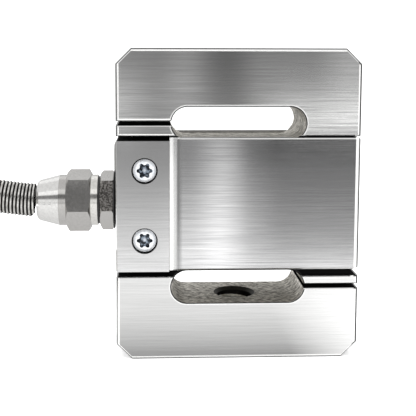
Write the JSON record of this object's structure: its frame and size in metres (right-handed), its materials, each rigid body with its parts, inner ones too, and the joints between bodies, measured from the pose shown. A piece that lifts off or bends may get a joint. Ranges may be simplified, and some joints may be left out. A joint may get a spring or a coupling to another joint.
{
  "type": "s type load cell",
  "caption": "S-shaped stainless load cell block with through slots, a covered middle, threaded ends and an armoured lead from a side gland.",
  "frame": {"origin": "mouth of the lower threaded hole, in the middle of the bottom face", "axes": "+Z along the load threads, towards the upper one; X along the slots, with the gland on the -X side; -Y out of the front face"},
  "size_m": [0.2127, 0.128, 0.077],
  "materials": {
    "spring_steel": "brushed lengthwise",
    "cover_steel": "brushed lengthwise",
    "block_steel": "brushed lengthwise",
    "screw_steel": "polished",
    "tab_steel": "brushed",
    "gland_plating": "polished nickel",
    "socket_plating": "polished nickel",
    "black_rubber": "matte",
    "brass": "turned",
    "hose_strip": "bright strip wound",
    "end_ring_plating": "polished nickel",
    "cable_sheath": "matte",
    "wire_red": "smooth",
    "wire_black": "smooth",
    "wire_green": "smooth",
    "wire_white": "smooth",
    "gauge_foil": "foil on film",
    "lid_steel": "plain",
    "board_laminate": "lacquered",
    "standoff_brass": "turned",
    "resistor_body": "matte",
    "link_film": "film"
  },
  "bodies": {
    "root": {"board_standoff_1": "standoff_brass", "board_standoff_2": "standoff_brass", "board_standoff_3": "standoff_brass", "centre_cover": "cover_steel", "conductor_1": "wire_red", "conductor_2": "wire_black", "conductor_3": "wire_green", "conductor_4": "wire_white", "conduit_coil": "hose_strip", "conduit_end_ring": "end_ring_plating", "conduit_hose": "hose_strip", "entry_block": "block_steel", "entry_screw_back_lower": "screw_steel", "entry_screw_back_upper": "screw_steel", "entry_screw_front_lower": "screw_steel", "entry_screw_front_upper": "screw_steel", "entry_tab": "tab_steel", "gauge_link": "link_film", "gland_body": "gland_plating", "gland_bush": "black_rubber", "gland_clamp_ring": "brass", "gland_collar": "gland_plating", "gland_nut": "gland_plating", "gland_seal_ring": "black_rubber", "hose_socket": "socket_plating", "lead_cable": "cable_sheath", "lead_core_1": "wire_red", "lead_core_2": "wire_black", "lead_core_3": "wire_green", "lead_core_4": "wire_white", "lead_tail": "cable_sheath", "pocket_lid_back": "lid_steel", "pocket_lid_front": "lid_steel", "spring_element": "spring_steel", "strain_gauge_back_left": "gauge_foil", "strain_gauge_back_right": "gauge_foil", "strain_gauge_front_left": "gauge_foil", "strain_gauge_front_right": "gauge_foil", "terminal_board": "board_laminate", "trim_resistor_1": "resistor_body", "trim_resistor_2": "resistor_body", "trim_resistor_3": "resistor_body", "trim_resistor_4": "resistor_body"}
  },
  "joints": []
}
